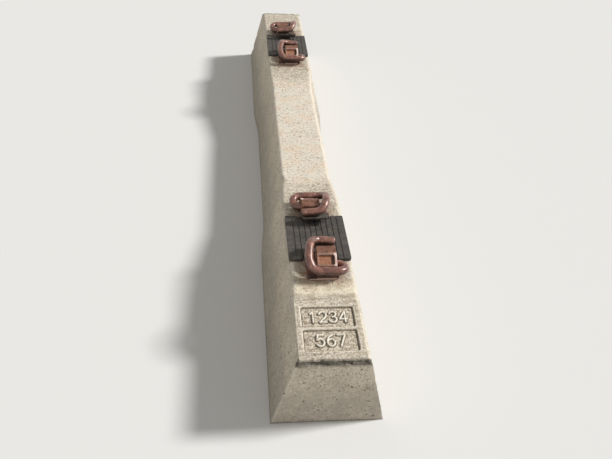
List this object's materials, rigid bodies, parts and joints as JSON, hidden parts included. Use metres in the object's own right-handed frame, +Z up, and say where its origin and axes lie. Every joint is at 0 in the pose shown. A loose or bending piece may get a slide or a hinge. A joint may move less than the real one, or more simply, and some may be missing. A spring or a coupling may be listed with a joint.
{
  "type": "railway sleeper",
  "caption": "Prestressed concrete railway sleeper with canted rail seats, cast-in iron shoulders, pads, insulators and rusty spring clips, and two shallow marking fields at one end.",
  "frame": {"origin": "centre of the flat base", "axes": "+X along the rails, +Y along the sleeper across the track, with the end that has the marking fields at -Y, +Z up"},
  "size_m": [0.252, 1.9, 0.2704],
  "materials": {
    "concrete": "cast, weathered",
    "shoulder_iron": "rusted",
    "clip_steel": "rusted",
    "insulator_nylon": "dusty",
    "pad_rubber": "dusty"
  },
  "bodies": {
    "root": {"sleeper_body": "concrete", "rail_pad_near": "pad_rubber", "rail_pad_far": "pad_rubber", "shoulder_near_outer": "shoulder_iron", "spring_clip_near_outer": "clip_steel", "insulator_near_outer": "insulator_nylon", "shoulder_near_inner": "shoulder_iron", "spring_clip_near_inner": "clip_steel", "insulator_near_inner": "insulator_nylon", "shoulder_far_inner": "shoulder_iron", "spring_clip_far_inner": "clip_steel", "insulator_far_inner": "insulator_nylon", "shoulder_far_outer": "shoulder_iron", "spring_clip_far_outer": "clip_steel", "insulator_far_outer": "insulator_nylon"}
  },
  "joints": []
}
